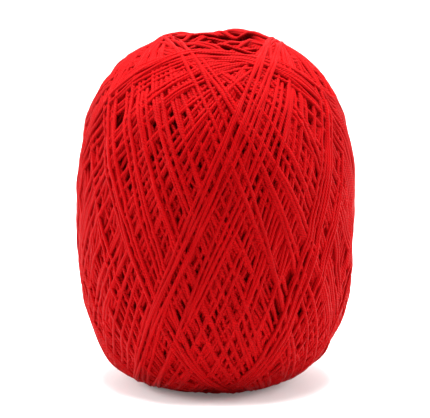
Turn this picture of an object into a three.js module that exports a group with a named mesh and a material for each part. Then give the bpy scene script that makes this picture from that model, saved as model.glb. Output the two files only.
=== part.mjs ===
import * as THREE from "three";

// A machine-wound ball of twisted cotton yarn, standing on end as it comes off the winder.
// It is one solid: a barrel with a well in each end where the winder's spindle was, a flat ring to stand
// on, and the main bundles of turns raised on its surface. Every turn of the yarn climbs one side, passes
// the top well, comes down the other side and passes the bottom well, so the bundles cross in diamonds.
// Millimetres, +Z up, origin on the floor under the ball's axis, the front of the ball towards -Y.

// Driving dimensions
const BALL_DIAMETER = 97;
const BALL_HEIGHT = 125; // of the full outline, before its foot is pressed flat
const UPPER_FULLNESS = 2.6; // exponent of the upper half's outline: 2 is an ellipse, more is squarer
const LOWER_FULLNESS = 3.1;
const STANDING_RADIUS = 22; // outer edge of the flat ring on the floor
const TURNING_RADIUS = 18; // circle round each end that the turns touch as they pass it
const WELL_RADIUS = 16.5; // mouth of the well
const YARN_DIAMETER = 1.35;

// The wall of a well from its rounded lip to the edge of its floor, as radius and depth below the mouth
const WELL_WALL = [
  { radius: 14.6, depth: 1.4 },
  { radius: 13.2, depth: 5 },
  { radius: 10.8, depth: 12 },
  { radius: 6, depth: 18 },
];

// How far a bundle of turns, and the gap between bundles, lies below the full outline
const LEVEL_DEPTH = { top: 0, middle: 0.8, low: 1.5 };
const GAP_DEPTH = 2.6;
const MOUTH_DEPTH = 1.1; // where the turns are packed close round the mouth of a well
const MOUTH_RELIEF = 0.15; // share of the difference between bundles that is left there

// The main bundles of turns. bearing is where the bundle crosses the middle of the ball leaning up to the
// right, in degrees to the right of the front; on the far side the same turns lean up to the left.
// turns is how many lie side by side, and level is how far out the bundle lies.
const BUNDLES = [
  { bearing: -88, turns: 4, level: "middle" },
  { bearing: -71, turns: 2, level: "low" },
  { bearing: -54, turns: 4, level: "middle" },
  { bearing: -40, turns: 2, level: "low" },
  { bearing: -32, turns: 2, level: "middle" },
  { bearing: -22, turns: 2, level: "low" },
  { bearing: -11, turns: 4, level: "top" },
  { bearing: 1, turns: 2, level: "middle" },
  { bearing: 9, turns: 2, level: "middle" },
  { bearing: 17, turns: 2, level: "low" },
  { bearing: 26, turns: 2, level: "low" },
  { bearing: 35, turns: 2, level: "middle" },
  { bearing: 46, turns: 6, level: "top" },
  { bearing: 60, turns: 4, level: "middle" },
  { bearing: 75, turns: 2, level: "low" },
  { bearing: 91, turns: 4, level: "middle" },
  { bearing: 103, turns: 2, level: "low" },
  { bearing: 116, turns: 4, level: "low" },
  { bearing: 136, turns: 4, level: "top" },
  { bearing: 151, turns: 4, level: "middle" },
  { bearing: 161, turns: 2, level: "top" },
  { bearing: 172, turns: 2, level: "middle" },
  { bearing: 187, turns: 2, level: "middle" },
  { bearing: 199, turns: 4, level: "top" },
  { bearing: 212, turns: 4, level: "middle" },
  { bearing: 221, turns: 2, level: "low" },
  { bearing: 237, turns: 4, level: "middle" },
  { bearing: 253, turns: 2, level: "low" },
];

// Mesh
const COLUMNS = 108;
const DIAGONAL_ROWS = 18; // rows each side of the middle, spaced so that the turns run along diagonals
const END_ROWS = 3; // rows from there to the mouth of a well
const OUTLINE_STEPS = 4000; // steps for adding up the winding angle along the outline

const ballRadius = BALL_DIAMETER / 2;
const halfHeight = BALL_HEIGHT / 2;
const columnAngle = (2 * Math.PI) / COLUMNS;
const slantCosine = Math.sqrt(1 - (TURNING_RADIUS / ballRadius) ** 2);
const turnsPerLine = (ballRadius * columnAngle * slantCosine) / YARN_DIAMETER;

// Radius of the ball's full outline at a height above its middle.
function outlineRadius(height) {
  const fullness = height > 0 ? UPPER_FULLNESS : LOWER_FULLNESS;
  return ballRadius * (1 - Math.abs(height / halfHeight) ** fullness) ** (1 / fullness);
}

// Height above the middle at which the outline has a radius, on the upper (+1) or lower (-1) half.
function outlineHeight(radius, half) {
  const fullness = half > 0 ? UPPER_FULLNESS : LOWER_FULLNESS;
  return half * halfHeight * (1 - (radius / ballRadius) ** fullness) ** (1 / fullness);
}

// A taut turn on a round body keeps radius times the sine of its slant the same all along, which is the
// turning radius. This adds up the angle it goes round while it climbs from the middle to each height.
function windingTable(half) {
  const table = [{ height: 0, angle: 0 }];
  const last = outlineHeight(TURNING_RADIUS, half);
  const heightAt = (step) => last * Math.sin((Math.PI / 2) * (step / OUTLINE_STEPS));
  for (let step = 1, angle = 0; step <= OUTLINE_STEPS; step++) {
    const [low, high] = [heightAt(step - 1), heightAt(step)];
    const [outer, inner] = [outlineRadius(low), outlineRadius(high)];
    const radius = (inner + outer) / 2;
    const along = Math.hypot(high - low, outer - inner);
    angle += (TURNING_RADIUS * along) / (radius * Math.sqrt(radius ** 2 - TURNING_RADIUS ** 2));
    table.push({ height: high, angle });
  }
  // A turn meets each well a quarter turn from where it crossed the middle, so that it closes.
  const scale = Math.PI / 2 / table.at(-1).angle;
  return table.map((entry) => ({ height: entry.height, angle: entry.angle * scale }));
}

// Height at which a turn has gone round by an angle since the middle.
function heightAtAngle(table, angle) {
  const i = table.findIndex((entry) => entry.angle >= angle);
  const [below, above] = [table[i - 1], table[i]];
  const share = (angle - below.angle) / (above.angle - below.angle);
  return THREE.MathUtils.lerp(below.height, above.height, share);
}

// Rows of one half from the first one past the middle to the centre of the well's floor. step is how many
// columns the turns have gone round since the middle, and relief is how much the bundles differ in depth.
function halfRows(half) {
  const table = windingTable(half);
  const rows = [];
  for (let i = 1; i <= DIAGONAL_ROWS; i++) {
    const height = heightAtAngle(table, i * columnAngle);
    rows.push({ radius: outlineRadius(height), height, step: half * i, relief: 1 });
  }
  const edge = rows.at(-1);
  for (let i = 1; i <= END_ROWS; i++) {
    const radius = THREE.MathUtils.lerp(edge.radius, WELL_RADIUS, i / END_ROWS);
    const toGo = Math.acos(Math.min(1, TURNING_RADIUS / radius));
    const step = (half * (Math.PI / 2 - toGo)) / columnAngle;
    const relief = THREE.MathUtils.lerp(1, MOUTH_RELIEF, i / END_ROWS);
    rows.push({ radius, height: outlineHeight(radius, half), step, relief });
  }
  const mouth = rows.at(-1);
  for (const { radius, depth } of WELL_WALL) {
    rows.push({ radius, height: mouth.height - half * depth, step: 0, relief: 0 });
  }
  rows.push({ ...rows.at(-1), radius: 0 });
  return rows;
}

// Depth of each of the mesh's diagonals that leans up to the right (+1) or to the left (-1), numbered by
// the column where it crosses the middle.
function lineDepths(lean) {
  const depths = new Array(COLUMNS).fill(GAP_DEPTH);
  for (const { bearing, turns, level } of BUNDLES) {
    const crossing = THREE.MathUtils.degToRad(bearing) + (lean < 0 ? Math.PI : 0);
    const lines = Math.max(1, Math.round(turns / turnsPerLine));
    const first = Math.round(crossing / columnAngle - (lines - 1) / 2);
    for (let line = first; line < first + lines; line++) {
      depths[THREE.MathUtils.euclideanModulo(line, COLUMNS)] = LEVEL_DEPTH[level];
    }
  }
  return depths;
}

const rightLeaning = lineDepths(1);
const leftLeaning = lineDepths(-1);

// Depth at a line's number, which may lie between two lines.
function depthAt(depths, line) {
  const [below, above] = [Math.floor(line), Math.floor(line) + 1];
  const depthOf = (number) => depths[THREE.MathUtils.euclideanModulo(number, COLUMNS)];
  return THREE.MathUtils.lerp(depthOf(below), depthOf(above), line - below);
}

// Whether the outermost bundle over the cell between two rows leans up to the right.
function rightLeaningOnTop(column, row, next) {
  const [middle, step] = [column + 0.5, (row.step + next.step) / 2];
  const outermost = (depths, line) => Math.min(...[-1, 0, 1].map((off) => depthAt(depths, line + off)));
  return outermost(rightLeaning, middle - step) <= outermost(leftLeaning, middle + step);
}

// The points of a row, sunk square to the outline to the outermost bundle there, and pressed flat where
// the ball stands.
function rowPoints(row, inward) {
  const floor = outlineHeight(STANDING_RADIUS, -1);
  const pressed = THREE.MathUtils.smoothstep(row.height, floor, floor + 2 * GAP_DEPTH);
  return Array.from({ length: COLUMNS }, (_, column) => {
    const outermost = Math.min(
      depthAt(rightLeaning, column - row.step),
      depthAt(leftLeaning, column + row.step),
    );
    const depth = THREE.MathUtils.lerp(MOUTH_DEPTH, outermost, row.relief) * pressed;
    const radius = row.radius + inward.x * depth;
    const height = Math.max(row.height + inward.y * depth, floor) - floor;
    const bearing = column * columnAngle;
    return new THREE.Vector3(radius * Math.sin(bearing), -radius * Math.cos(bearing), height);
  });
}

function woundBall() {
  const middle = { radius: ballRadius, height: 0, step: 0, relief: 1 };
  const rows = [...halfRows(-1).reverse(), middle, ...halfRows(1)];
  const grid = rows.map((row, i) => {
    const [below, above] = [rows[Math.max(i - 1, 0)], rows[Math.min(i + 1, rows.length - 1)]];
    const inward = new THREE.Vector2(below.height - above.height, above.radius - below.radius).normalize();
    return rowPoints(row, inward);
  });

  const positions = [];
  const triangle = (...corners) => corners.forEach((corner) => positions.push(corner.x, corner.y, corner.z));
  for (let i = 0; i + 1 < grid.length; i++) {
    for (let column = 0; column < COLUMNS; column++) {
      const next = (column + 1) % COLUMNS;
      const [a, b] = [grid[i][column], grid[i][next]];
      const [d, c] = [grid[i + 1][column], grid[i + 1][next]];
      if (rows[i].radius === 0) triangle(a, c, d);
      else if (rows[i + 1].radius === 0) triangle(a, b, c);
      // Each four-sided cell is split along the turns that lie on top there, which keeps bundles whole.
      else if (rightLeaningOnTop(column, rows[i], rows[i + 1])) {
        triangle(a, b, c);
        triangle(a, c, d);
      } else {
        triangle(a, b, d);
        triangle(b, c, d);
      }
    }
  }
  const geometry = new THREE.BufferGeometry();
  geometry.setAttribute("position", new THREE.Float32BufferAttribute(positions, 3));
  geometry.computeVertexNormals();
  const cotton = new THREE.MeshStandardMaterial({ color: 0xc8141a, roughness: 0.8, metalness: 0 });
  const mesh = new THREE.Mesh(geometry, cotton);
  mesh.name = "wound_ball";
  return mesh;
}

const yarnBall = new THREE.Group();
yarnBall.add(woundBall());

export default yarnBall;
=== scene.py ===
"""A machine-wound ball of red cotton yarn, standing on end as it comes off the winder.

The turns are laid one by one over a firm inner body, as the winder lays them: each one climbs the ball
leaning to the right, passes the well at the top, comes down the far side and passes the well at the foot.
A turn rests on the turns already there and spans the gaps between them, so bundles cross over each other
and leave small dark diamonds. Sizes are in millimetres until a mesh is made, which is in metres.
"""

from __future__ import annotations

import logging
import math
from dataclasses import dataclass, field
from enum import Enum

import bpy
import numpy as np
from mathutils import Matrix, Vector


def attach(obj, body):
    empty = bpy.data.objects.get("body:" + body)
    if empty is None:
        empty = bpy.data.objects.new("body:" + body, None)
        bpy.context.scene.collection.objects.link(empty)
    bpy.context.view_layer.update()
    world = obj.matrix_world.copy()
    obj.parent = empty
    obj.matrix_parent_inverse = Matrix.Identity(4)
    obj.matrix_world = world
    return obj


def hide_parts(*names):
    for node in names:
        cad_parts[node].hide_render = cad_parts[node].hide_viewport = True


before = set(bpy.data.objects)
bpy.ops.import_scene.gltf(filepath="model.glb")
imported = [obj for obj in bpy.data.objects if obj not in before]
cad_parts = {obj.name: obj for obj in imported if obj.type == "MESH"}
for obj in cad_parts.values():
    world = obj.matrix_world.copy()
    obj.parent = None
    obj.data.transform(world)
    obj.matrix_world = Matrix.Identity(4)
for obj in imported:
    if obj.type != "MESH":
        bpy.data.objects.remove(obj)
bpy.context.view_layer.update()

LOG = logging.getLogger("ball_of_yarn")
MM = 0.001
GOLDEN_ANGLE = 137.508  # degrees: steps of it spread turns evenly round the ball
WAVES = ((0.22, 3), (0.12, 8), (0.07, 23))  # of a turn: size in mm, and how many of them round the ball
CUT_SHARE = 0.55  # radius of a strand's cut end, as a share of the strand's own


class Side(Enum):
    """Which way a bundle leans where it crosses the front of the ball.

    A turn that leans right here leans left on the far side, so a left-leaning bundle is half a turn off.
    """

    RIGHT = 0.0
    LEFT = 180.0


@dataclass(frozen=True)
class Bundle:
    """Turns wound side by side.

    Attributes:
        bearing: Degrees to the right of the front where its middle crosses the ball's middle.
        lean: Which way it leans there. On the far side the same turns lean the other way.
        turns: How many turns lie side by side.
        turning_radius: Circle round each end that its turns touch as they pass the well, in mm.
    """

    bearing: float
    lean: Side
    turns: int
    turning_radius: float


# The bundles that show, in the order of winding, so that the last ones lie outermost.
MAIN_BUNDLES = (
    Bundle(-65, Side.LEFT, 2, 19.0),
    Bundle(-83, Side.RIGHT, 2, 18.0),
    Bundle(72, Side.LEFT, 2, 27.0),
    Bundle(-16, Side.RIGHT, 1, 19.5),
    Bundle(36, Side.LEFT, 1, 20.0),
    Bundle(-33, Side.RIGHT, 2, 24.0),
    Bundle(-50, Side.RIGHT, 1, 28.0),
    Bundle(13, Side.LEFT, 1, 16.0),
    Bundle(66, Side.RIGHT, 2, 18.0),
    Bundle(53, Side.LEFT, 2, 23.5),
    Bundle(-4, Side.LEFT, 1, 17.5),
    Bundle(80, Side.LEFT, 2, 25.0),
    Bundle(33, Side.RIGHT, 2, 15.5),
    Bundle(-42, Side.RIGHT, 2, 26.0),
    Bundle(-55, Side.LEFT, 2, 17.0),
    Bundle(-78, Side.LEFT, 3, 18.0),
    Bundle(8, Side.LEFT, 1, 16.5),
    Bundle(-20, Side.RIGHT, 1, 21.0),
    Bundle(77, Side.RIGHT, 3, 17.5),
    Bundle(65, Side.LEFT, 3, 25.5),
    Bundle(-57, Side.RIGHT, 1, 29.0),
    Bundle(23.5, Side.RIGHT, 4, 16.0),
    Bundle(0, Side.LEFT, 2, 15.5),
    Bundle(56, Side.LEFT, 2, 16.0),
    Bundle(-24.7, Side.RIGHT, 1, 22.0),
    Bundle(-29, Side.RIGHT, 1, 23.5),
    Bundle(-37.5, Side.RIGHT, 1, 25.0),
    Bundle(46, Side.LEFT, 3, 21.0),
    Bundle(-62, Side.RIGHT, 1, 29.5),
    Bundle(38, Side.LEFT, 2, 21.0),
    Bundle(57, Side.RIGHT, 3, 18.5),
    Bundle(-67, Side.RIGHT, 2, 29.5),
    Bundle(-7.5, Side.LEFT, 3, 16.5),
    Bundle(88, Side.RIGHT, 3, 18.5),
    Bundle(-72, Side.RIGHT, 3, 27.0),
    Bundle(14.5, Side.RIGHT, 2, 20.0),
    Bundle(-17.5, Side.LEFT, 3, 17.0),
    Bundle(-85, Side.RIGHT, 3, 24.5),
    Bundle(8.3, Side.RIGHT, 1, 21.0),
    Bundle(29.5, Side.LEFT, 2, 17.0),
    Bundle(4.4, Side.RIGHT, 2, 21.5),
    Bundle(-28, Side.LEFT, 3, 15.0),
    Bundle(86, Side.LEFT, 6, 23.0),
    Bundle(0.4, Side.RIGHT, 1, 20.0),
    Bundle(18.5, Side.LEFT, 2, 15.0),
    Bundle(45, Side.RIGHT, 5, 15.5),
    Bundle(-38.5, Side.LEFT, 4, 19.0),
    Bundle(-86, Side.RIGHT, 2, 21.5),
    Bundle(-9.5, Side.RIGHT, 5, 20.2),
)


def linear(colour: str) -> tuple[float, float, float, float]:
    """Turns an sRGB colour into the linear values that a shader takes.

    Args:
        colour: Six hex digits, such as "c8141a".

    Returns:
        Red, green, blue and an alpha of 1.
    """
    channels = [int(colour[i : i + 2], 16) / 255 for i in (0, 2, 4)]
    red, green, blue = (
        c / 12.92 if c <= 0.04045 else ((c + 0.055) / 1.055) ** 2.4 for c in channels
    )
    return (red, green, blue, 1.0)


def running_mean(values: np.ndarray, reach: int) -> np.ndarray:
    """Evens out a row of values.

    Args:
        values: The row.
        reach: How many neighbours on each side count.

    Returns:
        A row as long, whose ends repeat the outermost values.
    """
    width = 2 * reach + 1
    return np.convolve(np.pad(values, reach, mode="edge"), np.ones(width) / width, "valid")


@dataclass
class Outline:
    """The ball's full outline, turned about its axis, with its middle at height 0.

    Attributes:
        radius: Radius at the middle.
        upper_height: From the middle up to where the outline would meet the axis.
        lower_height: From the middle down to where it would.
        upper_fullness: Exponent of the upper half: 2 is an ellipse, more is squarer.
        lower_fullness: Exponent of the lower half.
        inner_radius: The outline is followed from the foot to the top as far in as this.
        lip_radius: From here inwards the outline rounds over into the wells.
        lip_drop: How far it has dropped at the inner radius.
        places: How many even steps along it are kept.
        evened: How many of them, on each side, the bend is averaged over.
    """

    radius: float = 47.3
    upper_height: float = 59.6
    lower_height: float = 62.3
    upper_fullness: float = 2.6
    lower_fullness: float = 3.05
    inner_radius: float = 9.0
    lip_radius: float = 18.0
    lip_drop: float = 2.4
    places: int = 4001
    evened: int = 60

    def __post_init__(self) -> None:
        """Works out radius, height, outward direction and bend along the outline."""
        turn = np.linspace(-np.pi / 2, np.pi / 2, 6001)
        fullness = np.where(turn > 0, self.upper_fullness, self.lower_fullness)
        r = self.radius * np.clip(np.cos(turn), 0, 1) ** (2 / fullness)
        half_height = np.where(turn > 0, self.upper_height, -self.lower_height)
        z = half_height * np.abs(np.sin(turn)) ** (2 / fullness)
        lip = np.clip((self.lip_radius - r) / (self.lip_radius - self.inner_radius), 0, 1)
        z -= np.sign(turn) * self.lip_drop * lip**2
        kept = r >= self.inner_radius
        turn, r, z = turn[kept], r[kept], z[kept]
        along = np.concatenate([[0], np.cumsum(np.hypot(np.diff(r), np.diff(z)))])
        along -= np.interp(0, turn, along)
        self.along = np.linspace(along[0], along[-1], self.places)
        self.r = np.interp(self.along, along, r)
        self.z = np.interp(self.along, along, z)
        dr, dz = np.gradient(self.r, self.along), np.gradient(self.z, self.along)
        size = np.hypot(dr, dz)
        self.out_r, self.out_z = dz / size, -dr / size
        bend = np.abs(np.gradient(np.unwrap(np.arctan2(dz, dr)), self.along))
        self.bend = running_mean(bend, self.evened)

    def at(self, values: np.ndarray, along: np.ndarray) -> np.ndarray:
        """Reads one of the outline's values at distances along it from the middle."""
        return np.interp(along, self.along, values)


@dataclass
class Turn:
    """The path of one whole turn on the full outline, as even steps that close on themselves.

    Attributes:
        bearing: Angle round the axis at each step, in radians, with 0 where it crosses the middle.
        along: Distance along the outline from the middle.
        radius: Radius of the outline there.
        slant_sine: Sine of the angle between the turn and the outline, with the sign of its lean.
        slant_cosine: Cosine of the same angle.
        bend: How sharply the outline bends away under the turn, in 1/mm.
        step: Length of a step.
    """

    bearing: np.ndarray
    along: np.ndarray
    radius: np.ndarray
    slant_sine: np.ndarray
    slant_cosine: np.ndarray
    bend: np.ndarray
    step: float

    @classmethod
    def on(cls, outline: Outline, turning_radius: float, step: float = 0.8) -> "Turn":
        """Finds the path of a taut turn, which keeps radius times the sine of its slant the same.

        Args:
            outline: The ball's outline.
            turning_radius: Circle round each end that the turn touches.
            step: Wanted length of a step.

        Returns:
            The path, from the foot up to the top and down the far side.
        """
        reached = outline.along[outline.r > turning_radius + 1e-4]
        low, high = reached[0], reached[-1]
        # The places lie closer together at the ends, where the turn runs nearly level.
        along = low + (high - low) * (0.5 - 0.5 * np.cos(np.linspace(0, np.pi, 3001)))
        rise = np.diff(along)
        radius = outline.at(outline.r, (along[1:] + along[:-1]) / 2)
        cosine = np.sqrt(np.maximum(1 - (turning_radius / radius) ** 2, 1e-5))
        length = np.concatenate([[0], np.cumsum(rise / cosine)])
        angle = np.concatenate([[0], np.cumsum(turning_radius * rise / (radius**2 * cosine))])
        angle -= np.interp(0, along, angle)
        # It meets each well a quarter turn from where it crossed the middle, so that it closes.
        quarter = np.where(angle < 0, -angle[0], angle[-1])
        angle *= (np.pi / 2) / quarter

        count = round(length[-1] / step)
        places = (np.arange(count) + 0.5) * length[-1] / count
        up, up_angle = np.interp(places, length, along), np.interp(places, length, angle)
        along = np.concatenate([up, up[::-1]])
        lean = np.concatenate([np.ones(count), -np.ones(count)])
        radius = outline.at(outline.r, along)
        sine = np.minimum(turning_radius / radius, 1)
        across = outline.at(outline.out_r, along) / radius
        return cls(
            bearing=np.concatenate([up_angle, np.pi - up_angle[::-1]]),
            along=along,
            radius=radius,
            slant_sine=sine * lean,
            slant_cosine=np.sqrt(1 - sine**2),
            bend=outline.at(outline.bend, along) * (1 - sine**2) + across * sine**2,
            step=length[-1] / count,
        )


@dataclass
class Winding:
    """The surface of the ball while it is wound, as heights over the full outline.

    Attributes:
        outline: The ball's outline.
        strand_radius: Radius of the yarn.
        cell: Size of the grid's cells at the middle of the ball.
        body_depth: How far the firm inner body lies under the outline at first.
        rim_depth: How much deeper it lies at the wells, where the turns pile up.
        rim_radius: Radius of the outline from which inwards it gets deeper.
        rim_width: How much further in it is at its deepest.
        softest_bend: The least bend that a turn is given, as slack yarn settles into what it crosses.
        tautness: Share of the way that a turn spans a gap, from 0 that lies in it to 1 that is straight.
        first_firmness: How far a strand stands off what it rests on, as a share of its radius, at first.
        firmness_limits: Least and most of that share.
    """

    outline: Outline
    strand_radius: float = 0.74
    cell: float = 0.45
    body_depth: float = 2.6
    rim_depth: float = 5.0
    rim_radius: float = 30.0
    rim_width: float = 14.0
    softest_bend: float = 0.06
    tautness: float = 0.38
    first_firmness: float = 0.5
    firmness_limits: tuple[float, float] = (0.12, 1.0)

    def __post_init__(self) -> None:
        """Lays out the grid, round the ball and along its outline."""
        low, high = self.outline.along[0], self.outline.along[-1]
        self.columns = round(2 * math.pi * self.outline.radius / self.cell)
        self.rows = round((high - low) / self.cell)
        self.along = np.linspace(low, high, self.rows)
        self.radius = self.outline.at(self.outline.r, self.along)
        rim = np.clip((self.rim_radius - self.radius) / self.rim_width, 0, 1) ** 1.5
        depth = self.body_depth + self.rim_depth * rim
        self.body = np.repeat(-depth[None, :], self.columns, axis=0)
        self.firmness = np.full(self.rows, self.first_firmness)
        # A strand is followed along five lines across its width.
        self.offsets = self.strand_radius * np.array([-0.9, -0.45, 0.0, 0.45, 0.9])
        self.rounding = np.sqrt(self.strand_radius**2 - self.offsets**2)
        self.start()

    def start(self) -> None:
        """Bares the firm inner body."""
        self.height = self.body.copy()

    def press(self) -> None:
        """Presses the turns more or less firmly, so that the next winding fills the outline."""
        # How thick the turns lie in each row, but for the thickest tenth.
        built = np.percentile(self.height - self.body, 90, axis=0)
        share = np.clip(-self.body.mean(axis=0) / np.maximum(built, 0.1), 0.6, 1.5)
        self.firmness = np.clip(running_mean(self.firmness * share, 10), *self.firmness_limits)

    def settle(self) -> None:
        """Sinks the inner body where the turns pile up, as they do layer after layer, to keep it round."""
        level = self.height
        # The level is that of the high points, evened out mostly round the ball and a little along it.
        for axis in (0, 1):
            level = np.max([np.roll(level, k, axis=axis) for k in range(-5, 6)], axis=0)
        for axis, reach in ((0, 21), (1, 9), (0, 21), (1, 9)):
            level = np.mean([np.roll(level, k, axis=axis) for k in range(-reach, reach + 1, 3)], axis=0)
        # The rows at the wells take the level next to them, as the evening wraps round there.
        level[:, :15], level[:, -15:] = level[:, 15:16], level[:, -16:-15]
        self.body -= 0.8 * (level - self.strand_radius / 2)

    def cells(self, bearing: np.ndarray, along: np.ndarray) -> tuple[np.ndarray, np.ndarray]:
        """Finds the grid's cells at places on the outline.

        Args:
            bearing: Angles to the right of the front, in radians.
            along: Distances along the outline from the middle.

        Returns:
            Columns and rows.
        """
        column = np.floor(bearing / (2 * np.pi) * self.columns).astype(int) % self.columns
        step = self.along[1] - self.along[0]
        row = np.clip(np.round((along - self.along[0]) / step).astype(int), 0, self.rows - 1)
        return column, row

    def under(self, turn: Turn, bearing: np.ndarray, shift: float = 0.0) -> tuple[np.ndarray, np.ndarray]:
        """Finds the cells across the width of a turn at each of its steps.

        Args:
            turn: Its path.
            bearing: Its bearing at each step, in radians.
            shift: Part of a step to move along it.

        Returns:
            Columns and rows, one line for each step.
        """
        bearing = bearing + shift * np.diff(bearing, append=bearing[0] + 2 * np.pi)
        along = turn.along + shift * (np.roll(turn.along, -1) - turn.along)
        side = self.offsets[None, :] * (turn.slant_cosine / turn.radius)[:, None]
        rise = -self.offsets[None, :] * turn.slant_sine[:, None]
        return self.cells(bearing[:, None] + side, along[:, None] + rise)

    def firm_rounding(self, turn: Turn) -> np.ndarray:
        """Gives how far a turn stands off what it rests on, across its width, once it is pressed in."""
        return np.interp(turn.along, self.along, self.firmness)[:, None] * self.rounding[None, :]

    def resting(self, turn: Turn, bearing: np.ndarray) -> np.ndarray:
        """Gives the least height of a turn's centre line at each step, on what is there."""
        return (self.height[self.under(turn, bearing)] + self.firm_rounding(turn)).max(axis=1)

    def crowding(self, turn: Turn, start: float) -> float:
        """Tells how much a turn would have to climb, so that it can slip to where there is room."""
        resting = self.resting(turn, turn.bearing + start)
        return float(np.percentile(resting, 92) + resting.mean())

    def lay(self, turn: Turn, bearing: np.ndarray) -> np.ndarray:
        """Lays a turn on what is there, and adds it to the surface.

        Args:
            turn: Its path.
            bearing: Its bearing at each step, in radians.

        Returns:
            Height of its centre line over the full outline at each step.
        """
        rounding = self.firm_rounding(turn)
        resting = self.resting(turn, bearing)
        spanning = self.stretch(resting, np.maximum(turn.bend, self.softest_bend), turn.step)
        centre = resting + self.tautness * (spanning - resting)
        # The yarn is too stiff to kink over what it crosses.
        weights = np.hanning(11)[1:-1]
        reach = len(weights) // 2
        centre = np.convolve(np.pad(centre, reach, mode="wrap"), weights / weights.sum(), "valid")
        for shift in (0.0, 0.5):
            middle = centre + shift * (np.roll(centre, -1) - centre)
            np.maximum.at(self.height, self.under(turn, bearing, shift), middle[:, None] + rounding)
        return centre

    @staticmethod
    def stretch(resting: np.ndarray, bend: np.ndarray, step: float) -> np.ndarray:
        """Stretches a turn over its high points, as a taut strand runs over a rounded body.

        Args:
            resting: Least height of the turn at each step.
            bend: How sharply the body falls away under it.
            step: Length of a step.

        Returns:
            Height of the stretched turn at each step.
        """
        count = len(resting)
        half = count // 2
        # Two and a half times round, so that the middle of it has no ends.
        heights = np.concatenate([resting, resting, resting[:half]])
        bends = np.concatenate([bend, bend, bend[:half]])
        fall = np.cumsum(np.cumsum(-bends)) * step**2
        level = heights + fall
        tops = [0]
        for place in range(1, len(level)):
            while len(tops) > 1:
                before, last = tops[-2], tops[-1]
                risen = (level[last] - level[before]) * (place - before)
                if risen > (level[place] - level[before]) * (last - before):
                    break
                tops.pop()
            tops.append(place)
        taut = np.interp(np.arange(len(level)), tops, level[tops]) - fall
        return np.roll(taut[half : half + count], half)


@dataclass
class Length:
    """A length of yarn that shows.

    Attributes:
        points: Its centre line in mm, one point a row.
        outward: Direction away from the ball at each point.
        tone: How light it is, from 0 to 1.
    """

    points: np.ndarray
    outward: np.ndarray
    tone: float

    def rings(self, radius: float, sides: int) -> np.ndarray:
        """Gives the corners round the strand at each point, drawn in at both ends.

        Args:
            radius: Radius of the yarn.
            sides: Faces round the strand.

        Returns:
            Corners in mm, ring after ring. The first of a ring lies to the side and the next ones outwards.
        """
        heading = np.gradient(self.points, axis=0)
        heading /= np.linalg.norm(heading, axis=1, keepdims=True)
        up = self.outward - (self.outward * heading).sum(axis=1, keepdims=True) * heading
        up /= np.linalg.norm(up, axis=1, keepdims=True)
        side = np.cross(heading, up)
        around = np.arange(sides) * 2 * np.pi / sides
        ring = np.cos(around)[None, :, None] * side[:, None] + np.sin(around)[None, :, None] * up[:, None]
        size = np.full(len(self.points), radius)
        size[[0, -1]] *= CUT_SHARE
        return (self.points[:, None] + ring * size[:, None, None]).reshape(-1, 3)

    def quads(self, first: int, sides: int) -> np.ndarray:
        """Gives the corner numbers of the four-sided faces along the strand.

        Args:
            first: Number of the strand's first corner.
            sides: Faces round the strand.

        Returns:
            Four corner numbers a row.
        """
        ring = np.arange(len(self.points) - 1)[:, None] * sides + first
        one = np.arange(sides)[None, :]
        other = (one + 1) % sides
        corners = [ring + one, ring + other, ring + sides + other, ring + sides + one]
        return np.stack(corners, axis=-1).reshape(-1, 4)

    def map(self, sides: int) -> np.ndarray:
        """Gives the map places of those faces' corners.

        Args:
            sides: Faces round the strand.

        Returns:
            Millimetres along the strand and turns round it, one corner a row.
        """
        steps = np.linalg.norm(np.diff(self.points, axis=0), axis=1)
        along = np.concatenate([[0], np.cumsum(steps)])
        turned = np.arange(sides) / sides
        begin, end, left = np.broadcast_arrays(along[:-1, None], along[1:, None], turned[None, :])
        right = left + 1 / sides
        return np.stack([begin, left, begin, right, end, right, end, left], axis=-1).reshape(-1, 2)


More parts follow.
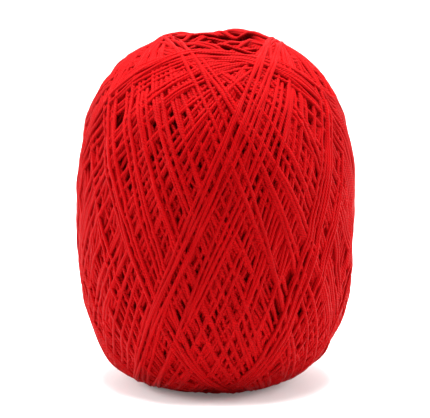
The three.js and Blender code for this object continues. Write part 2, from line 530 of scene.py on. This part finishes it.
@dataclass
class Strands:
    """Lengths of yarn gathered for one mesh.

    Attributes:
        name: Name of the piece.
        radius: Radius of the yarn.
        sides: Faces round a strand.
        lengths: The lengths of yarn.
    """

    name: str
    radius: float
    sides: int = 8
    lengths: list[Length] = field(default_factory=list)

    def add(self, length: Length) -> None:
        """Adds a length of yarn, unless it is too short to show."""
        if len(length.points) > 2:
            self.lengths.append(length)

    def build(self) -> bpy.types.Object:
        """Makes the mesh of round strands with closed ends.

        Its faces are given as lists of corners, as the edit operators can't follow a thousand paths that
        the winding has worked out.

        Returns:
            The piece, with a UV map in mm along and turns round each strand, and its tones.
        """
        counts = np.array([len(length.points) for length in self.lengths])
        firsts = (np.cumsum(counts) - counts) * self.sides
        lasts = firsts + (counts - 1) * self.sides
        around = np.arange(self.sides)
        corners = np.concatenate([length.rings(self.radius, self.sides) for length in self.lengths])
        quads = np.concatenate([one.quads(first, self.sides) for one, first in zip(self.lengths, firsts)])
        ends = np.stack([firsts[:, None] + around[::-1], lasts[:, None] + around], axis=1)
        loops = np.concatenate([quads.ravel(), ends.ravel()])
        end_starts = quads.size + np.arange(2 * len(self.lengths)) * self.sides
        starts = np.concatenate([np.arange(len(quads)) * 4, end_starts])

        mesh = bpy.data.meshes.new(self.name)
        mesh.vertices.add(len(corners))
        mesh.vertices.foreach_set("co", (corners * MM).astype(np.float32).ravel())
        mesh.loops.add(len(loops))
        mesh.loops.foreach_set("vertex_index", loops.astype(np.int32))
        mesh.polygons.add(len(starts))
        mesh.polygons.foreach_set("loop_start", starts.astype(np.int32))
        mesh.update(calc_edges=True)
        places = np.zeros((len(loops), 2), dtype=np.float32)
        places[: quads.size] = np.concatenate([length.map(self.sides) for length in self.lengths])
        mesh.uv_layers.new(name="strand").data.foreach_set("uv", places.ravel())
        tones = np.repeat([length.tone for length in self.lengths], counts * self.sides)
        mesh.attributes.new("tone", "FLOAT", "POINT").data.foreach_set("value", tones.astype(np.float32))
        mesh.shade_smooth()
        mesh.validate()
        piece = bpy.data.objects.new(self.name, mesh)
        bpy.context.scene.collection.objects.link(piece)
        return piece


@dataclass
class LaidTurn:
    """A turn of the ball.

    Attributes:
        start: Bearing where it crosses the middle leaning to the right, in radians.
        turning_radius: Circle round each end that it is meant to touch, in mm.
        sway: Where its slight waves begin, as three angles in radians.
        path: Its path, which may slip a little from there to where there is room.
        height: Height of its centre line over the full outline at each step.
    """

    start: float
    turning_radius: float
    sway: np.ndarray
    path: Turn | None = None
    height: np.ndarray | None = None

    def bearing(self) -> np.ndarray:
        """Finds which way the turn lies, with slight waves as of yarn that was laid by a quick arm.

        Returns:
            Its bearing at each step, in radians.
        """
        around = np.linspace(0, 2 * np.pi, len(self.path.along), endpoint=False)
        waves = sum(size * np.sin(count * around + begin) for (size, count), begin in zip(WAVES, self.sway))
        return self.path.bearing + self.start + waves / self.path.radius


@dataclass
class Wells:
    """The wells in both ends, where the winder's spindle was, and the innermost turns that line them.

    Attributes:
        middle_height: Height over the floor of the ball's middle, over which the lower well mirrors the
            upper one.
        strand_radius: Radius of the yarn.
        radius: Radius of the mouth.
        wall: Radius and height over the floor of the upper well, from its mouth to the edge of its floor.
        turns: How many turns cross the floors of both wells. Twice as many run down their walls.
        twists: Least and most that a turn goes round on its way down the wall, in degrees.
        sunk: Least and most that its centre lies behind the wall.
        reach: How far out a turn on the floor reaches.
        off_centre: How far at most it passes the middle of the floor.
        floor_step: Angle from one turn on the floor to the next, in radians.
    """

    middle_height: float
    strand_radius: float
    radius: float = 11.5
    wall: tuple[tuple[float, float], ...] = ((11.5, 115.5), (11.3, 109.0), (9.3, 105.0), (6.0, 102.5))
    turns: int = 44
    twists: tuple[float, float] = (70.0, 110.0)
    sunk: tuple[float, float] = (0.15, 0.5)
    reach: float = 7.5
    off_centre: float = 5.5
    floor_step: float = 2.4

    def lining(self, chance: np.random.Generator) -> Strands:
        """Lines both wells with turns that lean both ways down the wall and cross the floor.

        Args:
            chance: Source of the small unevenness of the winding.

        Returns:
            The lengths of yarn that show in the wells.
        """
        lining = Strands("well_turns", self.strand_radius)
        radii, heights = np.array(self.wall).T
        down = np.concatenate([[0], np.cumsum(np.hypot(np.diff(radii), np.diff(heights)))])
        fall = np.linspace(0, down[-1], 15)
        radius, height = np.interp(fall, down, radii), np.interp(fall, down, heights)
        for number in range(2 * self.turns):
            lean = 1 if number % 4 < 2 else -1
            twist = np.radians(chance.uniform(*self.twists)) * lean * fall / down[-1]
            bearing = np.radians(number * GOLDEN_ANGLE) + twist
            behind = radius + chance.uniform(*self.sunk)
            points = np.stack([behind * np.sin(bearing), -behind * np.cos(bearing), height], axis=-1)
            inwards = np.stack([-np.sin(bearing), np.cos(bearing), np.full(len(bearing), 0.5)], axis=-1)
            self.line(lining, Length(points, inwards, chance.uniform(0, 1)), upper=number % 2 == 0)

        upwards = np.tile([0.0, 0.0, 1.0], (7, 1))
        for number in range(self.turns):
            off = chance.uniform(-self.off_centre, self.off_centre)
            across = np.linspace(-1, 1, len(upwards)) * math.sqrt(self.reach**2 - off**2)
            bearing = number * self.floor_step
            # A turn on the floor sags a little towards the middle.
            points = np.stack([
                across * math.cos(bearing) - off * math.sin(bearing),
                across * math.sin(bearing) + off * math.cos(bearing),
                heights[-1] + chance.uniform(-0.3, 0.5) + 0.02 * across**2,
            ], axis=-1)
            self.line(lining, Length(points, upwards, chance.uniform(0, 1)), upper=number % 2 == 0)
        return lining

    def line(self, lining: Strands, length: Length, upper: bool) -> None:
        """Adds a length of yarn to the upper well, or upside down to the lower one.

        Args:
            lining: The lengths of yarn in both wells.
            length: The length, as it lies in the upper well.
            upper: Whether it is for the upper well.
        """
        if not upper:
            length.points = length.points * [1, 1, -1] + [0, 0, 2 * self.middle_height]
            length.outward = length.outward * [1, 1, -1]
        lining.add(length)


@dataclass
class YarnBall:
    """The wound ball: its turns, its wells and the firm body under them.

    Attributes:
        middle_height: Height of the outline's middle over the floor.
        slump: How far the foot bulges on the left.
        slump_height: Height over the floor where it bulges most.
        slump_spread: How far from there, up or down, the bulge dies away.
        turn_pitch: Angle between turns side by side, in degrees at the middle of the ball.
        under_events: How many times the winder lays one to three turns under the main bundles.
        under_radii: Least and most turning radius of those turns.
        bearing_slack: How unevenly a turn is laid round the ball, as a standard deviation in degrees.
        radius_slack: How uneven its turning radius is, in the same way.
        windings: How many times the ball is wound to find its turns' places.
        slips: How far a turn may slip from its turning radius to where there is room.
        names: Names of the pieces that its turns make up, from the innermost one.
        seed: Seed of the small unevenness of the winding.
    """

    middle_height: float = 60.7
    slump: float = 2.4
    slump_height: float = 5.0
    slump_spread: float = 7.0
    turn_pitch: float = 1.88
    under_events: int = 130
    under_radii: tuple[float, float] = (12.0, 27.0)
    bearing_slack: float = 0.2
    radius_slack: float = 0.4
    windings: int = 6
    slips: tuple[float, ...] = (0.0, -0.75, 0.75, -1.5, 1.5)
    names: tuple[str, ...] = ("buried_turns", "inner_turns", "lower_turns", "upper_turns", "outer_turns")
    seed: int = 3

    def __post_init__(self) -> None:
        """Makes the outline, the surface to wind on and the wells, and plans the turns."""
        self.outline = Outline()
        self.winding = Winding(self.outline)
        self.wells = Wells(self.middle_height, self.winding.strand_radius)
        self.chance = np.random.default_rng(self.seed)
        self.paths: dict[int, Turn] = {}
        self.turns = self.plan()

    def plan(self) -> list[LaidTurn]:
        """Lists the turns in the order of winding, with the slight unevenness of a real ball.

        Returns:
            The turns, not laid yet.
        """
        turns = []
        for event in range(self.under_events):
            side_by_side = self.chance.choice([1, 2, 3], p=[0.4, 0.4, 0.2])
            radius = self.chance.uniform(*self.under_radii)
            for k in range(side_by_side):
                turns.append((event * GOLDEN_ANGLE + k * self.turn_pitch, radius))
        for bundle in MAIN_BUNDLES:
            for k in range(bundle.turns):
                off = (k - (bundle.turns - 1) / 2) * self.turn_pitch
                turns.append((bundle.bearing + bundle.lean.value + off, bundle.turning_radius))
        return [
            LaidTurn(
                start=math.radians(bearing + self.chance.normal(0, self.bearing_slack)),
                turning_radius=radius + self.chance.normal(0, self.radius_slack),
                sway=self.chance.uniform(0, 2 * np.pi, len(WAVES)),
            )
            for bearing, radius in turns
        ]

    def path(self, turning_radius: float) -> Turn:
        """Finds a path once, to the nearest quarter of a millimetre, for all the turns that share it.

        Args:
            turning_radius: Circle round each end that the path touches.

        Returns:
            The path.
        """
        key = round(turning_radius * 4)
        if key not in self.paths:
            self.paths[key] = Turn.on(self.outline, key / 4)
        return self.paths[key]

    def roomiest(self, turn: LaidTurn) -> Turn:
        """Finds the path near a turn's own where it has to climb least."""
        paths = [self.path(max(self.wells.radius, turn.turning_radius + slip)) for slip in self.slips]
        return min(paths, key=lambda path: self.winding.crowding(path, turn.start))

    def wind(self) -> None:
        """Winds the ball a few times over, until it comes out round and at its real size.

        In the first half of the windings each turn picks its path, and the turns are pressed to fill the
        outline. In the second half the paths stay, and the body sinks where the turns pile up.
        """
        for number in range(self.windings):
            picking = number < self.windings // 2
            self.winding.start()
            for turn in self.turns:
                if picking:
                    turn.path = self.roomiest(turn)
                turn.height = self.winding.lay(turn.path, turn.bearing())
            if picking:
                self.winding.press()
            elif number < self.windings - 1:
                self.winding.settle()
        LOG.info("%d turns, up to %.2f mm over the outline", len(self.turns), self.winding.height.max())

    def place(self, bearing: np.ndarray, along: np.ndarray, height: np.ndarray
              ) -> tuple[np.ndarray, np.ndarray]:
        """Gives points in space for places over the outline.

        Args:
            bearing: Angles to the right of the front, in radians.
            along: Distances along the outline from the middle.
            height: Heights over the outline.

        Returns:
            Points in mm from the floor, and outward directions.
        """
        o = self.outline
        out_r, out_z = o.at(o.out_r, along), o.at(o.out_z, along)
        radius = o.at(o.r, along) + height * out_r
        z = o.at(o.z, along) + height * out_z + self.middle_height
        # The foot has slumped a little to the left.
        slump = np.exp(-(((z - self.slump_height) / self.slump_spread) ** 2))
        radius += self.slump * np.clip(-np.sin(bearing), 0, 1) * slump
        # The foot is pressed flat on the floor.
        z = np.maximum(z, self.winding.strand_radius)
        points = np.stack([radius * np.sin(bearing), -radius * np.cos(bearing), z], axis=-1)
        outward = np.stack([out_r * np.sin(bearing), -out_r * np.cos(bearing), out_z], axis=-1)
        return points, outward

    def lowest_seen(self) -> np.ndarray:
        """Tells how deep one can see into the finished winding.

        Returns:
            The lowest of the surface's heights near each cell of the grid.
        """
        lowest = self.winding.height
        for axis in (0, 1):
            lowest = np.min([np.roll(lowest, k, axis=axis) for k in range(-4, 5)], axis=0)
        return lowest

    def showing(self, laid: LaidTurn, lowest: np.ndarray) -> np.ndarray:
        """Tells which steps of a turn can be seen from outside, with a few more at each end.

        Args:
            laid: The turn.
            lowest: How deep one can see at each cell of the grid.

        Returns:
            Whether each step shows.
        """
        top = laid.height[:, None] + self.winding.rounding[None, :]
        seen = (top > lowest[self.winding.under(laid.path, laid.bearing())] - 0.1).any(axis=1)
        for _ in range(3):
            seen = seen | np.roll(seen, 1) | np.roll(seen, -1)
        return seen

    def strands(self) -> list[Strands]:
        """Turns the winding into lengths of yarn, leaving out what is buried.

        Returns:
            The lengths of each piece, from the innermost piece to the outermost.
        """
        self.wind()
        lowest = self.lowest_seen()
        pieces = [Strands(name, self.winding.strand_radius) for name in self.names]
        for number, laid in enumerate(self.turns):
            # Less of the early turns shows, so the first pieces take more of them.
            piece = pieces[int(len(pieces) * (number / len(self.turns)) ** 1.15)]
            self.add_lengths(piece, laid, self.showing(laid, lowest))
        return pieces

    def add_lengths(self, piece: Strands, laid: LaidTurn, seen: np.ndarray) -> None:
        """Adds the lengths of a turn that show to a piece, with a point at every third step.

        Args:
            piece: The piece.
            laid: The turn.
            seen: Which steps show.
        """
        count = len(seen)
        tone = self.chance.uniform(0, 1)
        points, outward = self.place(laid.bearing(), laid.path.along, laid.height)
        if seen.all():
            first, runs = 0, [np.arange(count + 1)]
        else:
            first = int(np.argmin(seen))
            order = (np.arange(count) + first) % count
            marks = np.flatnonzero(np.diff(np.concatenate([[0], seen[order].astype(int), [0]])))
            runs = [np.arange(a, b) for a, b in zip(marks[::2], marks[1::2])]
        for run in runs:
            steps = run[::3] if run[-1] in run[::3] else np.append(run[::3], run[-1])
            picked = (steps + first) % count
            piece.add(Length(points[picked], outward[picked], tone))

    def body_rings(self) -> list[tuple[float, float]]:
        """Lists the rings of the firm body, from the floor of the lower well to that of the upper one.

        Returns:
            Radius and height over the floor of each ring.
        """
        winding, o = self.winding, self.outline
        kept = winding.radius > self.wells.radius
        # A ring at every sixth row of the grid, a little below the deepest that the body has sunk there.
        along, depth = winding.along[kept][::6], winding.body.min(axis=0)[kept][::6] - 0.15
        radii = o.at(o.r, along) + depth * o.at(o.out_r, along)
        heights = o.at(o.z, along) + depth * o.at(o.out_z, along) + self.middle_height
        # It stays clear of the floor, and the wells begin a little inside it.
        heights = np.maximum(heights, 1.2)
        top, foot = heights[-1] - 0.5, heights[0] + 0.5
        upper = [(radius, min(height, top)) for radius, height in self.wells.wall]
        lower = [(radius, max(2 * self.middle_height - height, foot))
                 for radius, height in reversed(self.wells.wall)]
        return [*lower, *zip(radii, heights), *upper]

    def body(self) -> bpy.types.Object:
        """Models the firm body under the turns, with its wells, ring by ring from the lower well up.

        Returns:
            The piece.
        """
        rings = self.body_rings()
        bpy.ops.object.select_all(action="DESELECT")
        radius, height = rings[0]
        bpy.ops.mesh.primitive_circle_add(vertices=96, radius=radius * MM, fill_type="NGON",
                                          location=(0, 0, height * MM))
        piece = bpy.context.object
        piece.name = piece.data.name = "inner_body"
        bpy.ops.object.transform_apply(location=True, rotation=True, scale=True)
        bpy.ops.object.mode_set(mode="EDIT")
        bpy.ops.mesh.select_all(action="SELECT")
        for next_radius, next_height in rings[1:]:
            rise = (0, 0, (next_height - height) * MM)
            bpy.ops.mesh.extrude_region_move(TRANSFORM_OT_translate={"value": rise})
            share = next_radius / radius
            bpy.ops.transform.resize(value=(share, share, 1), center_override=(0, 0, next_height * MM))
            radius, height = next_radius, next_height
        bpy.ops.mesh.select_all(action="SELECT")
        bpy.ops.mesh.normals_make_consistent(inside=False)
        bpy.ops.object.mode_set(mode="OBJECT")
        bpy.ops.object.shade_smooth()
        # All of it reads one place on the strands' map, where no painted shade falls and they are lightest.
        layer = piece.data.uv_layers.new(name="strand")
        layer.data.foreach_set("uv", np.tile([0.5, 0.25], len(layer.data)).astype(np.float32))
        return piece


def add_node(tree: bpy.types.NodeTree, kind: str, links: dict[str | int, object] | None = None,
             **settings: object) -> bpy.types.Node:
    """Adds a node with its settings and links.

    Args:
        tree: The node tree.
        kind: Type of the node.
        links: Names or numbers of the node's input sockets, with a socket or a value for each.
        **settings: Attributes of the node.

    Returns:
        The node.
    """
    node = tree.nodes.new(kind)
    for name, value in settings.items():
        setattr(node, name, value)
    for name, value in (links or {}).items():
        socket = node.inputs[name]
        if isinstance(value, bpy.types.NodeSocket):
            tree.links.new(value, socket)
        else:
            socket.default_value = value
    return node


@dataclass(frozen=True)
class CottonYarn:
    """Crochet cotton, spun, plied and singed, in a firm round strand with hardly any fuzz.

    Attributes:
        light: Colour where no painted shade falls: on a ply's back, where the strand faces away from the
            ball.
        shaded_colour: Colour of the painted shade, in the creases between plies and at the sides of a
            strand.
        ply_spacing: Distance along the strand from one ply to the next, in mm. The real one is about
            0.7 mm, too fine to show at the picture's size, so it is drawn coarser.
        plies: How many plies pass round the strand.
        ply_shade_share: How much lighter a ply's back is than the painted shade in the creases, as a share
            of the way to light.
        side_shade_share: How much lighter the strand is where it faces away from the ball than at its sides,
            which carry painted shade.
        tone_share: How much one length of yarn may be lighter than another.
        relief: Height of the plies, in metres.
        roughness: Matt, as cotton is.
        gloss: Level of the mirror reflection, which the small fibres scatter almost wholly.
    """

    light: str = "9a0205"
    shaded_colour: str = "620102"
    ply_spacing: float = 1.0
    plies: int = 4
    ply_shade_share: float = 0.55
    side_shade_share: float = 0.38
    tone_share: float = 0.12
    relief: float = 0.00015
    roughness: float = 0.5
    gloss: float = 0.025

    def material(self) -> bpy.types.Material:
        """Makes the material, which reads the strand's own map for its twist.

        Returns:
            The material.
        """
        # Twisted cotton yarn: the plies show as fine slanting ticks of bump with painted shade in the
        # creases between them, and painted shade darkens the sides of a strand, which parts the strands of a
        # bundle.
        material = bpy.data.materials.new("twisted_cotton_yarn")
        material.use_nodes = True
        tree = material.node_tree
        tree.nodes.clear()
        place = add_node(tree, "ShaderNodeUVMap", uv_map="strand")
        parts = add_node(tree, "ShaderNodeSeparateXYZ", {0: place.outputs[0]})

        # Half a wave for each ply, running slantwise round the strand: a bump, and painted shade in the
        # creases.
        along = add_node(tree, "ShaderNodeMath", {0: parts.outputs[0], 1: math.pi / self.ply_spacing},
                         operation="MULTIPLY")
        phase = add_node(tree, "ShaderNodeMath",
                         {0: parts.outputs[1], 1: -math.pi * self.plies, 2: along.outputs[0]},
                         operation="MULTIPLY_ADD")
        wave = add_node(tree, "ShaderNodeMath", {0: phase.outputs[0]}, operation="SINE")
        ply = add_node(tree, "ShaderNodeMath", {0: wave.outputs[0]}, operation="ABSOLUTE")

        # The map's second value is a quarter of a turn where the strand faces away from the ball.
        round_it = add_node(tree, "ShaderNodeMath", {0: parts.outputs[1], 1: 2 * math.pi},
                            operation="MULTIPLY")
        facing = add_node(tree, "ShaderNodeMath", {0: round_it.outputs[0]}, operation="SINE")
        # Painted shade: the strand is darker towards its sides, where its neighbours would shade it.
        side_shade = add_node(tree, "ShaderNodeMapRange",
                         {0: facing.outputs[0], 1: -0.2, 2: 0.7, 3: 0.0, 4: self.side_shade_share})

        tone = add_node(tree, "ShaderNodeAttribute", attribute_name="tone")
        # Painted shade from the creases between plies and from the strand's sides, before each length's own
        # tone is added.
        painted_shading = add_node(tree, "ShaderNodeMath", {0: ply.outputs[0], 1: self.ply_shade_share, 2: side_shade.outputs[0]},
                         operation="MULTIPLY_ADD")
        toned = add_node(tree, "ShaderNodeMath",
                         {0: tone.outputs["Fac"], 1: self.tone_share, 2: painted_shading.outputs[0]},
                         operation="MULTIPLY_ADD")
        colour = add_node(tree, "ShaderNodeMix",
                          {0: toned.outputs[0], 6: linear(self.shaded_colour), 7: linear(self.light)},
                          data_type="RGBA")
        bump = add_node(tree, "ShaderNodeBump",
                        {"Height": ply.outputs[0], "Strength": 0.7, "Distance": self.relief})
        shader = add_node(tree, "ShaderNodeBsdfPrincipled", {
            "Base Color": colour.outputs[2],
            "Roughness": self.roughness,
            "IOR": 1.5,
            "Specular IOR Level": self.gloss,
            "Normal": bump.outputs[0],
        })
        add_node(tree, "ShaderNodeOutputMaterial", {0: shader.outputs[0]})
        return material


@dataclass(frozen=True)
class MattPaper:
    """Matt white paper, lit so strongly that only the contact shadow shows on it.

    Attributes:
        colour: Colour of the paper.
        roughness: Without any gloss.
        glow: Light that comes through it from below, which keeps the shadow short and pale.
    """

    colour: str = "eaeaea"
    roughness: float = 0.9
    glow: float = 0.12

    def material(self) -> bpy.types.Material:
        """Makes the material.

        Returns:
            The material.
        """
        # Matt white paper: an even white ground without a horizon.
        material = bpy.data.materials.new("matt_white_paper")
        material.use_nodes = True
        shader = material.node_tree.nodes["Principled BSDF"]
        shader.inputs["Base Color"].default_value = linear(self.colour)
        shader.inputs["Roughness"].default_value = self.roughness
        shader.inputs["Emission Color"].default_value = (1, 1, 1, 1)
        shader.inputs["Emission Strength"].default_value = self.glow
        return material


@dataclass(frozen=True)
class Lamp:
    """A soft square lamp that faces the ball.

    Attributes:
        name: Its name.
        place: Where it hangs, in metres.
        power: Its power in watts.
        size: Its width in metres.
        aim: The point that it faces, in metres.
    """

    name: str
    place: tuple[float, float, float]
    power: float
    size: float = 0.5
    aim: tuple[float, float, float] = (0.0, 0.0, 0.06)

    def hang(self) -> None:
        """Adds the lamp to the scene."""
        data = bpy.data.lights.new(self.name, "AREA")
        data.size, data.energy = self.size, self.power
        lamp = bpy.data.objects.new(self.name, data)
        lamp.location = self.place
        lamp.rotation_euler = (Vector(self.aim) - Vector(self.place)).to_track_quat("-Z", "Y").to_euler()
        bpy.context.scene.collection.objects.link(lamp)


@dataclass
class Studio:
    """A plain white floor and backdrop, soft light from above and both sides, and the camera.

    Attributes:
        aim: The point that the camera looks at, in mm.
        elevation: How far above the level of the ball the camera looks from, in degrees.
        distance: From the camera to that point, in mm.
        lens: Focal length for a sensor 36 mm wide.
        front_light: Strength of the backdrop's light from the front.
        side_light: Strength of its light from the back.
        fade: Where it fades from one to the other, from -1 at the front to 1 at the back.
        lamps: The lamps.
    """

    aim: tuple[float, float, float] = (-0.2, 0.0, 60.0)
    elevation: float = 10.5
    distance: float = 900.0
    lens: float = 217.3
    front_light: float = 0.0
    side_light: float = 1.62
    fade: tuple[float, float] = (-0.78, 0.3)
    lamps: tuple[Lamp, ...] = (
        Lamp("upper_light", (0, 0, 0.9), 26),
        Lamp("left_light", (-0.9, 0.1, 0.4), 11),
        Lamp("right_light", (0.9, 0.1, 0.4), 9),
    )

    def camera(self) -> None:
        """Sets the camera at the photo's angle."""
        data = bpy.data.cameras.new("camera")
        data.sensor_width = 36
        data.lens = self.lens
        data.clip_start, data.clip_end = 0.05, 50
        camera = bpy.data.objects.new("camera", data)
        angle = math.radians(self.elevation)
        back = Vector((0, -math.cos(angle), math.sin(angle)))
        camera.location = (Vector(self.aim) + back * self.distance) * MM
        camera.rotation_euler = (-back).to_track_quat("-Z", "Y").to_euler()
        bpy.context.scene.collection.objects.link(camera)
        bpy.context.scene.camera = camera

    def floor(self) -> None:
        """Adds the floor."""
        bpy.ops.object.select_all(action="DESELECT")
        bpy.ops.mesh.primitive_plane_add(size=12)
        floor = bpy.context.object
        floor.name = "floor"
        floor.data.materials.append(MattPaper().material())

    def light(self) -> None:
        """Lights the ball softly and keeps the backdrop white."""
        world = bpy.data.worlds.new("white_backdrop")
        world.use_nodes = True
        tree = world.node_tree
        tree.nodes.clear()
        # Dimmer from the front, where the camera is and no lamp stands.
        direction = add_node(tree, "ShaderNodeTexCoord")
        parts = add_node(tree, "ShaderNodeSeparateXYZ", {0: direction.outputs["Generated"]})
        strength = add_node(tree, "ShaderNodeMapRange", {
            0: parts.outputs[1],
            1: self.fade[0],
            2: self.fade[1],
            3: self.front_light,
            4: self.side_light,
        }, interpolation_type="SMOOTHSTEP")
        light = add_node(tree, "ShaderNodeBackground", {0: (1, 1, 1, 1), 1: strength.outputs[0]})
        add_node(tree, "ShaderNodeOutputWorld", {0: light.outputs[0]})
        bpy.context.scene.world = world
        for lamp in self.lamps:
            lamp.hang()
        bpy.context.scene.view_settings.view_transform = "Standard"


def main() -> None:
    """Winds the ball, dresses it and sets it in the studio."""
    logging.basicConfig(level=logging.INFO, format="%(message)s")
    studio = Studio()
    studio.camera()
    studio.floor()
    studio.light()
    ball = YarnBall()
    strands = ball.strands()
    lining = ball.wells.lining(ball.chance)
    pieces = [ball.body(), *(gathered.build() for gathered in (lining, *strands))]
    cotton = CottonYarn().material()
    for piece in pieces:
        piece.data.materials.append(cotton)
        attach(piece, "root")
        LOG.info("%s: %d faces", piece.name, len(piece.data.polygons))
    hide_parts("wound_ball")


if __name__ == "__main__":
    main()
